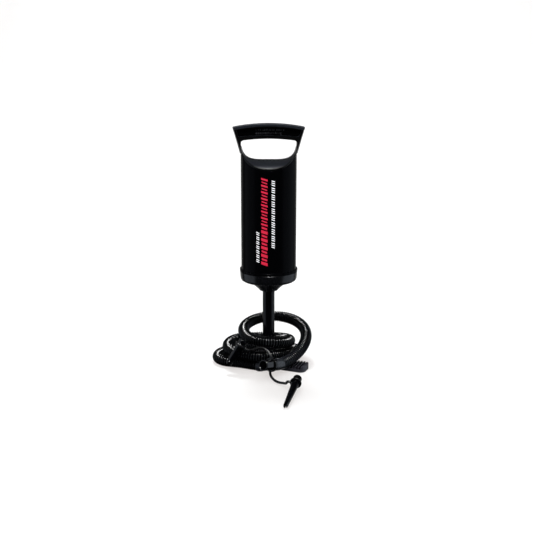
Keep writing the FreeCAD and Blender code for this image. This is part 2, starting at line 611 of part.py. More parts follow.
disc_core = fuse([cyl("disc_r", "0", "disc_top - 2"), cone("disc_r", "disc_r - 2", "disc_top - 2", "disc_top"),
                  cone("boss_bot_r", "boss_top_r + 0.6", "disc_top - 1", "boss_top - 1.2"), cone("boss_top_r + 0.6", "boss_top_r - 0.6", "boss_top - 1.2", "boss_top"),
                  pipe_y("port_or", "port_y", "-8", "port_x", "port_z"), pipe_x("port_or", "port_end_x", "port_x", "port_y", "port_z")])
elbow_ball = doc.addObject("Part::Sphere", "elbow_ball")
bind(elbow_ball, Radius="port_or", Placement__Base__x="port_x", Placement__Base__y="port_y", Placement__Base__z="port_z")
barb = pipe_x("barb_or", "port_end_x - 0.5 - barb_len", "port_end_x + 1", "port_y", "port_z")
port_stop = pipe_x("port_or + 2.2", "port_end_x", "port_end_x + 2.2", "port_y", "port_z")
rear_port = pipe_y("7.6", "10", "30", "0", "rear_z")
rear_lip = pipe_y("8.4", "27.5", "30", "0", "rear_z")
# webs that tie the disc to the foot plates
web = box("-(disc_r + 4)", "disc_r + 4", "-3", "3", "0", "disc_top - 1")
base_solid = fuse([pedals_ribbed, disc_core, elbow_ball, barb, port_stop, rear_port, rear_lip, web])
base_cuts = [
    cyl("cover_r + 0.1", "-1", "cover_t + 0.3"),
    cyl("chamber_r", "cover_t", "chamber_top"),
    cyl("tube_or + 0.02", "chamber_top - 1", "disc_top + 1"),
    cyl("tube_or + 2.02", "chamber_top + 0.8", "chamber_top + 2.8"),
    cyl("rod_ir", "disc_top + 0.6", "rod_bot"),
    cyl("rod_or + 0.01", "rod_bot", "boss_top + 1"),
    pipe_y("port_ir", "port_y", "-9", "port_x", "port_z - 1.2"),
    pipe_x("port_ir", "port_end_x - 2 - barb_len", "port_x + 2", "port_y", "port_z"),
    pipe_y("5.6", "16", "32", "0", "rear_z"),
    box("-2.6", "2.6", "3", "17", "disc_top + 1", "disc_top + 5"),
]
# the rear intake duct rises inside the boss to the space round the inner tube
rise = box("-2.6", "2.6", "8.8", "17", "rear_z + 1", "disc_top + 4")
under_left = []
for side in (-1, 1):
    x0, x1 = ("disc_r + 3", "pedal_half_len - 3.2")
    lo, hi = (x0, x1) if side > 0 else ("-(%s)" % x1, "-(%s)" % x0)
    under_left.append(box(lo, hi, "-(pedal_half_wid - 3)", "-1.2", "-1", "pedal_t - 2.4"))
    under_left.append(box(lo, hi, "1.2", "pedal_half_wid - 3", "-1", "pedal_t - 2.4"))
screw_ring = [(16.9 * math.cos(math.radians(a)), 16.9 * math.sin(math.radians(a))) for a in (45, 135, 225, 345)]
pilots = [cyl("0.9", "cover_t", "cover_t + 5.4", "%.4f" % x, "%.4f" % y) for x, y in screw_ring]
lands = [cyl("2.6", "cover_t + 0.3", "chamber_top + 1", "%.4f" % x, "%.4f" % y) for x, y in screw_ring]
base_hollow = cut(base_solid, base_cuts + [rise] + under_left)
core_keep = fuse([base_hollow] + lands)
foot = cut(core_keep, pilots, "foot_base")
keep(foot, "foot_base", True)

gasket = cut(cyl("cover_r - 0.05", "cover_t - 0.02", "cover_t + 0.28"), [cyl("chamber_r - 0.1", "0", "10")] + [cyl("1.3", "0", "10", "%.4f" % x, "%.4f" % y) for x, y in screw_ring], "base_gasket")
keep(gasket, "base_gasket", True)
bot = cut(cyl("cover_r", "0", "cover_t - 0.04"), [cyl("1.2", "-1", "10", "%.4f" % x, "%.4f" % y) for x, y in screw_ring] + [cyl("2.5", "-1", "1.35", "%.4f" % x, "%.4f" % y) for x, y in screw_ring], "base_cover")
keep(bot, "base_bottom_cover", True)
bs = feature(Part.makeCompound([screw_at(x, y, 1.33, 6.0, 0.88, 2.2, 1.1, up=False) for x, y in screw_ring]), "base_screws")
keep(bs, "base_screws", True)

tube_ring = doc.addObject("Part::Torus", "rod_o_ring")
bind(tube_ring, Radius1="tube_or + 1.0", Radius2="0.97", Placement__Base__z="chamber_top + 1.8")
keep(tube_ring, "rod_o_ring")

# ---------------------------------------------------------------- hose
HOSE = [(23.42, -37.64, 17.53), (32.66, -30.90, 20.35), (41.18, -24.07, 24.80), (48.36, -16.17, 29.79), (53.87, -6.97, 34.64),
        (57.53, 3.33, 39.04), (59.19, 14.32, 42.98), (58.69, 25.53, 46.56), (55.89, 36.48, 49.87), (50.70, 46.61, 52.85),
        (43.23, 55.34, 55.36), (33.84, 62.19, 57.24), (23.09, 66.86, 58.37), (11.55, 69.21, 58.68), (-0.21, 69.17, 58.22),
        (-11.63, 66.56, 57.12), (-21.95, 61.15, 55.58), (-30.29, 53.04, 53.91), (-35.93, 42.83, 52.41), (-38.73, 31.44, 51.33),
        (-39.26, 19.69, 50.70), (-38.14, 7.95, 50.43), (-35.56, -3.55, 50.35), (-31.12, -14.45, 50.30), (-24.16, -23.93, 50.24),
        (-14.54, -30.67, 50.05), (-3.21, -33.65, 49.45), (8.40, -32.53, 48.26), (18.86, -27.54, 46.52), (26.96, -19.31, 44.45),
        (31.73, -8.81, 42.25), (32.57, 2.69, 40.05), (29.43, 13.81, 37.93), (22.98, 23.44, 35.98), (14.14, 31.03, 34.34),
        (3.80, 36.51, 33.12), (-7.42, 40.02, 32.35), (-19.10, 41.62, 32.00), (-30.86, 41.06, 31.89), (-42.22, 37.98, 31.74),
        (-52.31, 31.99, 31.32), (-59.85, 23.05, 30.56), (-63.51, 11.97, 29.60), (-62.74, 0.30, 28.73), (-58.18, -10.52, 28.16),
        (-50.99, -19.85, 27.88), (-42.10, -27.56, 27.71), (-31.82, -33.30, 27.49), (-20.44, -36.20, 27.13), (-8.73, -35.48, 26.66),
        (2.24, -31.27, 26.09), (12.04, -24.75, 25.44), (21.11, -17.26, 24.51), (29.80, -9.41, 23.07), (37.74, -0.96, 21.01),
        (44.05, 8.65, 18.46), (47.67, 19.50, 15.70), (47.83, 30.97, 13.16), (44.35, 42.01, 11.18), (37.59, 51.54, 9.92),
        (28.28, 58.68, 9.32), (17.35, 63.00, 9.16), (5.68, 64.56, 9.15), (-6.09, 63.85, 9.16), (-17.65, 61.51, 9.15),
        (-28.98, 58.22, 9.15), (-40.12, 54.33, 9.15), (-51.02, 49.82, 9.15), (-61.39, 44.22, 9.15), (-70.55, 36.83, 9.15),
        (-77.29, 27.20, 9.15), (-80.06, 15.83, 9.15), (-77.64, 4.41, 9.16), (-70.30, -4.67, 9.29), (-60.08, -10.46, 9.55),
        (-48.96, -14.38, 9.76), (-37.86, -18.38, 9.74), (-26.98, -22.95, 9.61)]
FIT_U = Vector(0.62, 0.753, -0.22)
FIT_U.normalize()
MOUTH = Vector(-8.3, -73.6, 25.9)
hose_start = MOUTH + FIT_U * (val("fit_len") + 0.1)
hose_bend = MOUTH + FIT_U * (val("fit_len") + val("fit_barb_len") + 1.5)
port_end = from_base(val("port_end_x") - 0.5, val("port_y"), val("port_z"))
port_dir = from_base(1, 0, 0)
port_bend = port_end - port_dir * (val("barb_len") + 2.0)
curve = Part.BSplineCurve()
lead = (hose_bend - hose_start).Length
tail = (port_end - port_bend).Length
mid = [hose_start + FIT_U * (lead * k / 4.0) for k in range(5)] + [Vector(*p) for p in HOSE] + [port_bend + port_dir * (tail * k / 3.0) for k in range(4)]
params = [0.0]
for a, b in zip(mid[:-1], mid[1:]):
    params.append(params[-1] + (b - a).Length)
curve.interpolate(Points=mid, Parameters=params, InitialTangent=Vector(FIT_U), FinalTangent=Vector(port_dir))
hose_path = feature(Part.Wire([curve.toShape()]), "hose_path")
print("hose length %.1f" % curve.length())


def hose_tube():
    """Plain hollow tube along the hose path."""
    ends = []
    for r in (val("hose_or"), val("hose_ir")):
        ends.append(Part.Wire([Part.Circle(hose_start, FIT_U, r).toShape()]))
    face = Part.Face(ends[0]).cut(Part.Face(ends[1])).Faces[0]
    tube = hose_path.Shape.Wires[0].makePipe(face)
    if tube.ShapeType != "Solid":
        tube = tube.Solids[0] if tube.Solids else Part.makeSolid(Part.makeShell(tube.Faces))
    if tube.Volume < 0:
        tube.reverse()
    return tube


keep(feature(hose_tube(), "hose"), "hose")


def turned_part(label, pts, at, direction):
    b = rev_body(label, pts)
    b.Placement = Placement(at, Rotation(Vector(0, 0, 1), direction))
    EXPORT.append(b)
    b.Label = label
    return b


# end fitting: smooth mouth, flange, barb inside the hose; local z runs from mouth to hose
turned_part("hose_end_fitting", [
    ("fit_ir", "0.5"), ("fit_ir + 0.5", "0"), ("fit_or - 0.6", "0"), ("fit_or", "0.6"), ("fit_or", "fit_len - 2.0"), ("fit_flange_or", "fit_len - 2.0"),
    ("fit_flange_or", "fit_len"), ("barb_or", "fit_len"), ("barb_or", "fit_len + 3"), ("barb_or + 0.15", "fit_len + 5"), ("barb_or", "fit_len + 6"),
    ("barb_or", "fit_len + 8"), ("barb_or + 0.15", "fit_len + 10"), ("barb_or - 0.4", "fit_len + fit_barb_len"), ("fit_ir - 1.25", "fit_len + fit_barb_len"),
    ("fit_ir - 1.25", "fit_len - 2"), ("fit_ir", "fit_len - 2")], MOUTH, FIT_U)
turned_part("hose_end_cuff", [
    ("cuff_ir", "fit_len + 0.1"), ("cuff_or - 0.3", "fit_len + 0.1"), ("cuff_or", "fit_len + 0.5"), ("cuff_or", "fit_len + 13"), ("cuff_or - 0.3", "fit_len + 13.5"),
    ("cuff_ir", "fit_len + 13.5")], MOUTH, FIT_U)
cuff_b = turned_part("hose_base_cuff", [
    ("cuff_ir", "0.1"), ("cuff_or - 0.3", "0.1"), ("cuff_or", "0.4"), ("cuff_or", "4.6"), ("cuff_or - 0.3", "5.0"), ("cuff_ir", "5.0")],
    port_end, port_dir * -1)

# ---------------------------------------------------------------- leash, rubber
N1_TOP = Vector(42.0, -99.0, 15.0)
N1_TIP = Vector(22.0, -179.0, 3.9)
N2_TOP = Vector(-37.4, -37.4, 52.8)
N2_TIP = Vector(-61.4, -40.6, 16.4)
u1 = N1_TIP - N1_TOP
u1.normalize()
u2 = N2_TIP - N2_TOP
u2.normalize()
ring_c = MOUTH + FIT_U * val("ring_at")
LEASH_1 = [(3.4, -69.5, 7.6), (7.6, -76.5, 4.6), (14.6, -84.5, 3.6), (21.6, -92.5, 5.4), (25.6, -102.0, 9.0)]
LEASH_2 = [(1.2, -53.5, 37.4), (-4.2, -49.2, 42.2), (-13.0, -46.2, 43.6)]


def ring_solid(center, direction, r_in, r_out, w):
    a = Part.makeCylinder(r_out, w, center - direction * (w / 2), direction)
    a = a.makeFillet(min(0.9, w * 0.3), [e for e in a.Edges if e.Curve.__class__.__name__ == "Circle"])
    return a.cut(Part.makeCylinder(r_in, w + 2, center - direction * (w / 2 + 1), direction))


def cord(points, r):
    """Round rubber cord along a smooth curve through the points."""
    c = Part.BSplineCurve()
    c.interpolate([Vector(*p) for p in points])
    t0 = c.tangent(c.FirstParameter)[0]
    face = Part.Face(Part.Wire([Part.Circle(c.value(c.FirstParameter), t0, r).toShape()]))
    tube = Part.Wire([c.toShape()]).makePipe(face)
    if tube.ShapeType != "Solid":
        tube = tube.Solids[0] if tube.Solids else Part.makeSolid(Part.makeShell(tube.Faces))
    if tube.Volume < 0:
        tube.reverse()
    return tube


LOOP1_C = N1_TOP + u1 * 13.4
LOOP2_C = N2_TOP + u2 * 8.6
ring_main = ring_solid(ring_c, FIT_U, val("ring_ir"), val("ring_or"), val("ring_w"))
loop1 = ring_solid(LOOP1_C, u1, 6.15, 8.6, 2.6)
loop2 = ring_solid(LOOP2_C, u2, 6.65, 9.0, 2.6)

# cord 1 hangs from the underside of the ring to the nozzle on the ground
down = Vector(0, 0, -1) - FIT_U * (Vector(0, 0, -1).dot(FIT_U))
down.normalize()
upv = down * -1
a1 = ring_c + down * 9.6
side1 = Vector(-1, 0, 0.05) - u1 * (Vector(-1, 0, 0.05).dot(u1))
side1.normalize()
e1 = LOOP1_C + side1 * 7.55
f1 = LOOP1_C + side1 * 11.5
s1 = [(a1.x, a1.y, a1.z)] + LEASH_1 + [(f1.x, f1.y, f1.z), (e1.x, e1.y, e1.z)]
cord_1 = cord(s1, val("cord_r"))
# cord 2 climbs over the coil to the nozzle resting on it
a2 = ring_c + upv * 9.6
side2 = Vector(1, -0.35, 0.1) - u2 * (Vector(1, -0.35, 0.1).dot(u2))
side2.normalize()
e2 = LOOP2_C + side2 * 7.95
f2 = LOOP2_C + side2 * 12.0
s2 = [(a2.x, a2.y, a2.z)] + LEASH_2 + [(f2.x, f2.y, f2.z), (e2.x, e2.y, e2.z)]
cord_2 = cord(s2, val("cord_r"))
leash_shape = ring_main.fuse([cord_1, cord_2, loop1, loop2]).removeSplitter()
# clear the bores again where the cords reach through the loops
leash_shape = leash_shape.cut(Part.makeCylinder(val("ring_ir"), 30, ring_c - FIT_U * 15, FIT_U))
leash_shape = leash_shape.cut(Part.makeCylinder(6.15, 20, LOOP1_C - u1 * 10, u1))
leash_shape = leash_shape.cut(Part.makeCylinder(6.65, 20, LOOP2_C - u2 * 10, u2))
keep(feature(leash_shape, "nozzle_leash"), "nozzle_leash")


# ---------------------------------------------------------------- nozzles
def nozzle(label, pts, at, direction, slot):
    b = rev_body(label + "_turned", pts)
    b.Placement = Placement(at, Rotation(Vector(0, 0, 1), direction))
    if slot is None:
        o = b
        o.Label = label
    else:
        z0, z1, w = slot
        s = Part.makeBox(w, 40, z1 - z0, Vector(-w / 2, -20, z0))
        try:
            s = s.makeFillet(w / 2 - 0.05, [e for e in s.Edges if e.BoundBox.YLength > 30])
        except Exception:
            pass
        s.Placement = Placement(at, Rotation(Vector(0, 0, 1), direction)).multiply(Placement(Vector(0, 0, 0), Rotation(Vector(0, 0, 1), 0)))
        o = cut(b, feature(s), label)
    keep(o, label)
    return o


nozzle("nozzle_slim", [
    ("5.0", "0"), ("6.1", "0"), ("6.5", "0.4"), ("6.5", "11.2"), ("6.9", "11.2"), ("6.9", "12.0"), ("6.05", "12.0"), ("6.05", "14.9"), ("6.9", "14.9"), ("6.9", "15.8"),
    ("5.9", "15.8"), ("5.2", "30"), ("3.5", "76"), ("3.3", "79.5"), ("2.6", "81.6"), ("1.7", "82.3"), ("1.7", "62"), ("3.2", "30"), ("4.2", "15"), ("5.0", "11")],
    N1_TOP, u1, (72.0, 90.0, 2.5))
nozzle("nozzle_wide", [
    ("5.2", "0"), ("6.0", "0"), ("6.5", "0.5"), ("6.5", "6.4"), ("7.3", "6.4"), ("7.3", "7.2"), ("6.55", "7.2"), ("6.55", "10.1"), ("7.3", "10.1"), ("7.3", "11.0"),
    ("6.5", "11.0"), ("5.4", "24"), ("4.6", "38"), ("5.2", "39"), ("5.2", "41.5"), ("4.5", "43.4"), ("3.0", "43.4"), ("3.0", "24"), ("4.2", "12"), ("5.2", "8")],
    N2_TOP, u2, None)

doc.recompute()
bad = []
for o in doc.Objects:
    st = [str(s) for s in o.State]
    if "Invalid" in st or "Error" in st:
        bad.append((o.Name, st))
for o in EXPORT:
    s = o.Shape
    if s.isNull() or not s.isValid():
        bad.append((o.Label, "bad shape"))
if bad:
    for o in doc.Objects:
        if "Invalid" in [str(s) for s in o.State]:
            print(o.Name, o.getStatusString())
    raise RuntimeError("objects that failed: %r" % bad)

os.makedirs("parts", exist_ok=True)
for o in EXPORT:
    o.Shape.exportStep("parts/%s.step" % o.Label)
    bb = o.Shape.BoundBox
    print("%-22s solids %d vol %9.1f  x %.1f..%.1f y %.1f..%.1f z %.1f..%.1f" % (
        o.Label, len(o.Shape.Solids), o.Shape.Volume, bb.XMin, bb.XMax, bb.YMin, bb.YMax, bb.ZMin, bb.ZMax))
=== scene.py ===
import math
import random

import bmesh
import bpy
from mathutils import Matrix, Vector


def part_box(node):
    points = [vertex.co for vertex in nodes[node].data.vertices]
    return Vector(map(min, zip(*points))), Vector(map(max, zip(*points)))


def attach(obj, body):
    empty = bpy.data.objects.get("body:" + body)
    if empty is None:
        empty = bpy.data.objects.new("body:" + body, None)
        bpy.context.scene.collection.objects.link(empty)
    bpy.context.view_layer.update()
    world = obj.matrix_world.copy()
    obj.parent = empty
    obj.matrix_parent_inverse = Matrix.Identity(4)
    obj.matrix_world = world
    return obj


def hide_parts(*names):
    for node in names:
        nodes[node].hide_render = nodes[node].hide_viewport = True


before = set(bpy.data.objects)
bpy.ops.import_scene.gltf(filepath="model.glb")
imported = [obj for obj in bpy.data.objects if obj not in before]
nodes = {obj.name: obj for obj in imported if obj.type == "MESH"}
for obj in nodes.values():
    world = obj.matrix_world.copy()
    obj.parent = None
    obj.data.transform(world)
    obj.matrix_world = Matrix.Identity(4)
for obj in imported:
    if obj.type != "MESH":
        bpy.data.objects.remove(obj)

random.seed(7)
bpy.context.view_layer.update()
scene = bpy.context.scene
MM = 0.001


# ---------------------------------------------------------------- materials
def new_mat(name):
    m = bpy.data.materials.new(name)
    m.use_nodes = True
    nt = m.node_tree
    nt.nodes.clear()
    out = nt.nodes.new("ShaderNodeOutputMaterial")
    bsdf = nt.nodes.new("ShaderNodeBsdfPrincipled")
    nt.links.new(bsdf.outputs["BSDF"], out.inputs["Surface"])
    return m, nt, bsdf


def coords(nt, scale=1.0, kind="Object"):
    tc = nt.nodes.new("ShaderNodeTexCoord")
    mp = nt.nodes.new("ShaderNodeMapping")
    if isinstance(scale, (int, float)):
        scale = (scale, scale, scale)
    mp.inputs["Scale"].default_value = scale
    nt.links.new(tc.outputs[kind], mp.inputs["Vector"])
    return mp.outputs["Vector"]


def noise(nt, vec, scale, detail=4.0, rough=0.55, distort=0.0):
    n = nt.nodes.new("ShaderNodeTexNoise")
    n.inputs["Scale"].default_value = scale
    n.inputs["Detail"].default_value = detail
    n.inputs["Roughness"].default_value = rough
    n.inputs["Distortion"].default_value = distort
    nt.links.new(vec, n.inputs["Vector"])
    return n.outputs["Fac"]


def ramp(nt, fac, lo, hi, p0=0.3, p1=0.7):
    r = nt.nodes.new("ShaderNodeMapRange")
    r.inputs["From Min"].default_value = p0
    r.inputs["From Max"].default_value = p1
    r.inputs["To Min"].default_value = lo
    r.inputs["To Max"].default_value = hi
    nt.links.new(fac, r.inputs["Value"])
    return r.outputs["Result"]


def mix_rgb(nt, fac, a, b):
    m = nt.nodes.new("ShaderNodeMix")
    m.data_type = "RGBA"
    m.inputs["A"].default_value = (*a, 1.0)
    m.inputs["B"].default_value = (*b, 1.0)
    nt.links.new(fac, m.inputs["Factor"])
    return m.outputs["Result"]


def add_bump(nt, bsdf, heights):
    """heights: list of (fac socket, strength, distance in metres)."""
    prev = None
    for fac, strength, dist in heights:
        b = nt.nodes.new("ShaderNodeBump")
        b.inputs["Strength"].default_value = strength
        b.inputs["Distance"].default_value = dist
        nt.links.new(fac, b.inputs["Height"])
        if prev is not None:
            nt.links.new(prev, b.inputs["Normal"])
        prev = b.outputs["Normal"]
    nt.links.new(prev, bsdf.inputs["Normal"])


def painted_gap_shade(nt, socket, bsdf, spec, distance=0.0035):
    """Painted shade: darken narrow gaps and grooves in both colour and sheen, through ambient occlusion."""
    ao = nt.nodes.new("ShaderNodeAmbientOcclusion")
    ao.samples = 8
    ao.only_local = False
    ao.inputs["Distance"].default_value = distance
    open_ = ramp(nt, ao.outputs["AO"], 0.05, 1.0, 0.45, 0.90)
    m = nt.nodes.new("ShaderNodeMix")
    m.data_type = "RGBA"
    m.inputs["A"].default_value = (0.0, 0.0, 0.0, 1.0)
    nt.links.new(socket, m.inputs["B"])
    nt.links.new(open_, m.inputs["Factor"])
    nt.links.new(m.outputs["Result"], bsdf.inputs["Base Color"])
    nt.links.new(ramp(nt, open_, 0.0, spec, 0.0, 1.0), bsdf.inputs["Specular IOR Level"])


def plastic(name, dark, light, r0, r1, grain=900.0, grain_h=0.00003, coat=0.0, wave=0.0, spec=0.5, ior=1.5, gaps=False, gap=0.0035):
    """Moulded plastic: slow colour drift, patchy gloss, fine grain and slight waviness of the skin."""
    m, nt, bsdf = new_mat(name)
    vec = coords(nt)
    drift = noise(nt, vec, 14.0, 3.0)
    patch = noise(nt, vec, 60.0, 5.0, 0.6, 0.4)
    fine = noise(nt, vec, grain, 3.0, 0.6)
    nt.links.new(mix_rgb(nt, ramp(nt, drift, 0.0, 1.0), dark, light), bsdf.inputs["Base Color"])
    nt.links.new(ramp(nt, patch, r0, r1), bsdf.inputs["Roughness"])
    bsdf.inputs["Specular IOR Level"].default_value = spec
    bsdf.inputs["IOR"].default_value = ior
    # painted shade in gaps and grooves
    if gaps:
        painted_gap_shade(nt, bsdf.inputs["Base Color"].links[0].from_socket, bsdf, spec, gap)
    bsdf.inputs["Coat Weight"].default_value = coat
    bsdf.inputs["Coat Roughness"].default_value = 0.12
    h = [(fine, 0.35, grain_h)]
    if wave > 0:
        h.append((noise(nt, vec, 22.0, 1.0), 0.25, wave))
    add_bump(nt, bsdf, h)
    return m


def rubber(name, dark, light, rough=0.6):
    m, nt, bsdf = new_mat(name)
    vec = coords(nt)
    drift = noise(nt, vec, 30.0, 4.0)
    fine = noise(nt, vec, 1500.0, 2.0)
    nt.links.new(mix_rgb(nt, ramp(nt, drift, 0.0, 1.0), dark, light), bsdf.inputs["Base Color"])
    nt.links.new(ramp(nt, drift, rough - 0.08, rough + 0.1), bsdf.inputs["Roughness"])
    add_bump(nt, bsdf, [(fine, 0.4, 0.00004)])
    return m


def metal(name, dark, light, rough=0.3):
    m, nt, bsdf = new_mat(name)
    vec = coords(nt, (1.0, 1.0, 8.0))
    drift = noise(nt, vec, 90.0, 5.0, 0.7)
    bsdf.inputs["Metallic"].default_value = 1.0
    nt.links.new(mix_rgb(nt, ramp(nt, drift, 0.0, 1.0), dark, light), bsdf.inputs["Base Color"])
    nt.links.new(ramp(nt, drift, rough - 0.08, rough + 0.12), bsdf.inputs["Roughness"])
    add_bump(nt, bsdf, [(noise(nt, vec, 700.0, 3.0), 0.3, 0.00002)])
    return m


def ink(name, col, wear_and_sheen):
    m, nt, bsdf = new_mat(name)
    vec = coords(nt)
    wear = noise(nt, vec, 260.0, 6.0, 0.7)
    tint = mix_rgb(nt, ramp(nt, wear, 0.0, 1.0, 0.62, 0.8), col, wear_and_sheen)
    nt.links.new(tint, bsdf.inputs["Base Color"])
    # painted light: the ink glows a little, so it keeps its colour in the dim front light
    nt.links.new(tint, bsdf.inputs["Emission Color"])
    bsdf.inputs["Emission Strength"].default_value = 0.42
    nt.links.new(ramp(nt, wear, 0.38, 0.55), bsdf.inputs["Roughness"])
    add_bump(nt, bsdf, [(noise(nt, vec, 1200.0, 2.0), 0.3, 0.00002)])
    return m


BARREL = plastic("barrel_black", (0.0008, 0.0009, 0.0014), (0.0014, 0.0015, 0.0022), 0.20, 0.27, 1400.0, 0.000006, wave=0.00010, spec=0.055, ior=1.42)
SATIN = plastic("satin_black", (0.0034, 0.0038, 0.0050), (0.0056, 0.0062, 0.0080), 0.17, 0.25, 1100.0, 0.00001, spec=0.60, gaps=True)
HANDLE = plastic("handle_black", (0.0115, 0.0132, 0.0180), (0.0160, 0.0180, 0.0238), 0.26, 0.36, 1100.0, 0.00002, spec=0.22, gaps=True)
FOOT = plastic("foot_black", (0.0320, 0.0310, 0.0420), (0.0440, 0.0420, 0.0560), 0.30, 0.42, 1000.0, 0.00004, spec=0.6, gaps=True, gap=0.0055)
ROD = plastic("rod_black", (0.0010, 0.0011, 0.0022), (0.0018, 0.0020, 0.0036), 0.16, 0.24, 700.0, 0.00001, spec=0.32)
CUFF = plastic("cuff_black", (0.0200, 0.0225, 0.0290), (0.0290, 0.0320, 0.0400), 0.22, 0.32, 900.0, 0.00002, spec=0.8)
GLOSS = plastic("fitting_black", (0.0007, 0.0008, 0.0013), (0.0013, 0.0014, 0.0021), 0.07, 0.12, 1200.0, 0.000005, spec=0.85)
NOZZLE = plastic("nozzle_black", (0.0007, 0.0008, 0.0013), (0.0013, 0.0014, 0.0021), 0.06, 0.10, 1200.0, 0.000005, spec=0.5)


def ribbed(name):
    """Glossy hose skin: bright rib crests, dull grooves darkened with painted shade."""
    m, nt, bsdf = new_mat(name)
    vec = coords(nt)
    at = nt.nodes.new("ShaderNodeAttribute")
    at.attribute_name = "rib"
    drift = noise(nt, vec, 40.0, 4.0)
    crest = ramp(nt, at.outputs["Fac"], 0.0, 1.0, 0.25, 0.95)
    near = nt.nodes.new("ShaderNodeAttribute")
    near.attribute_name = "near_end"
    # painted shade: the grooves get a darker colour than the crests
    skin = mix_rgb(nt, crest, (0.0002, 0.0002, 0.0004), (0.0018, 0.0021, 0.0029))
    # painted sheen: the hose is paler within about 38 mm of its start at the fitting, fading out by 72 mm
    wear_and_sheen = mix_rgb(nt, crest, (0.0035, 0.0040, 0.0052), (0.0210, 0.0235, 0.0300))
    blend = nt.nodes.new("ShaderNodeMix")
    blend.data_type = "RGBA"
    nt.links.new(near.outputs["Fac"], blend.inputs["Factor"])
    nt.links.new(skin, blend.inputs["A"])
    nt.links.new(wear_and_sheen, blend.inputs["B"])
    tint = blend.outputs["Result"]
    nt.links.new(tint, bsdf.inputs["Base Color"])
    rough = nt.nodes.new("ShaderNodeMath")
    rough.operation = "ADD"
    nt.links.new(ramp(nt, crest, 0.34, 0.085, 0.0, 1.0), rough.inputs[0])
    nt.links.new(ramp(nt, drift, 0.0, 0.05), rough.inputs[1])
    nt.links.new(rough.outputs[0], bsdf.inputs["Roughness"])
    # painted shade: the grooves also lose most of their sheen
    nt.links.new(ramp(nt, crest, 0.02, 0.8, 0.0, 1.0), bsdf.inputs["Specular IOR Level"])
    add_bump(nt, bsdf, [(noise(nt, vec, 900.0, 3.0), 0.25, 0.00001)])
    return m


TOP_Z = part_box("handle")[1][2]
RIM_R = 0.0417


def painted_facing_light(mat, dark, light):
    """Painted light and shade: faces that look to the front or back are painted dark, the rest is painted paler."""
    nt = mat.node_tree
    bsdf = next(n for n in nt.nodes if n.type == "BSDF_PRINCIPLED")
    src = bsdf.inputs["Base Color"].links[0].from_socket
    tc = nt.nodes.new("ShaderNodeTexCoord")
    sp = nt.nodes.new("ShaderNodeSeparateXYZ")
    nt.links.new(tc.outputs["Normal"], sp.inputs[0])
    ab = nt.nodes.new("ShaderNodeMath")
    ab.operation = "ABSOLUTE"
    nt.links.new(sp.outputs["Y"], ab.inputs[0])
    side = ramp(nt, ab.outputs[0], 1.0, 0.0, 0.78, 0.95)
    # painted light: the upper edge of the grip gets a paler band that follows its arch
    po = nt.nodes.new("ShaderNodeTexCoord")
    ps = nt.nodes.new("ShaderNodeSeparateXYZ")
    nt.links.new(po.outputs["Object"], ps.inputs[0])
    arch = nt.nodes.new("ShaderNodeMath")
    arch.operation = "MULTIPLY_ADD"
    sq = nt.nodes.new("ShaderNodeMath")
    sq.operation = "MULTIPLY"
    nt.links.new(ps.outputs["X"], sq.inputs[0])
    nt.links.new(ps.outputs["X"], sq.inputs[1])
    nt.links.new(sq.outputs[0], arch.inputs[0])
    arch.inputs[1].default_value = 2.3
    nt.links.new(ps.outputs["Z"], arch.inputs[2])
    top_light_band = nt.nodes.new("ShaderNodeMapRange")
    top_light_band.interpolation_type = "SMOOTHSTEP"
    top_light_band.inputs["From Min"].default_value = TOP_Z - 0.0036
    top_light_band.inputs["From Max"].default_value = TOP_Z - 0.0016
    nt.links.new(arch.outputs[0], top_light_band.inputs["Value"])
    both = nt.nodes.new("ShaderNodeMath")
    both.operation = "MAXIMUM"
    nt.links.new(side, both.inputs[0])
    nt.links.new(top_light_band.outputs["Result"], both.inputs[1])
    # painted shade: the rim where the saddle meets the barrel wall is dark too
    flat = nt.nodes.new("ShaderNodeVectorMath")
    flat.operation = "MULTIPLY"
    flat.inputs[1].default_value = (1.0, 1.0, 0.0)
    nt.links.new(po.outputs["Object"], flat.inputs[0])
    rad = nt.nodes.new("ShaderNodeVectorMath")
    rad.operation = "LENGTH"
    nt.links.new(flat.outputs[0], rad.inputs[0])
    rim = ramp(nt, rad.outputs["Value"], 1.0, 0.0, RIM_R - 0.0028, RIM_R - 0.0012)
    above = ramp(nt, ps.outputs["Z"], 0.0, 1.0, TOP_Z - 0.046, TOP_Z - 0.040)
    keep = nt.nodes.new("ShaderNodeMath")
    keep.operation = "MAXIMUM"
    nt.links.new(rim, keep.inputs[0])
    nt.links.new(above, keep.inputs[1])
    amount = nt.nodes.new("ShaderNodeMath")
    amount.operation = "MULTIPLY"
    nt.links.new(both.outputs[0], amount.inputs[0])
    nt.links.new(keep.outputs[0], amount.inputs[1])
    face = ramp(nt, amount.outputs[0], dark, light, 0.0, 1.0)
    m = nt.nodes.new("ShaderNodeMix")
    m.data_type = "RGBA"
    m.blend_type = "MULTIPLY"
    m.inputs["Factor"].default_value = 1.0
    nt.links.new(src, m.inputs["A"])
    cmb = nt.nodes.new("ShaderNodeCombineColor")
    for k in ("Red", "Green", "Blue"):
        nt.links.new(face, cmb.inputs[k])
    nt.links.new(cmb.outputs["Color"], m.inputs["B"])
    nt.links.new(m.outputs["Result"], bsdf.inputs["Base Color"])


painted_facing_light(HANDLE, 0.08, 1.45)
MARKS = plastic("grip_marks_grey", (0.040, 0.042, 0.050), (0.060, 0.062, 0.072), 0.35, 0.5, 1200.0, 0.00002)
HOSE = ribbed("hose_black")
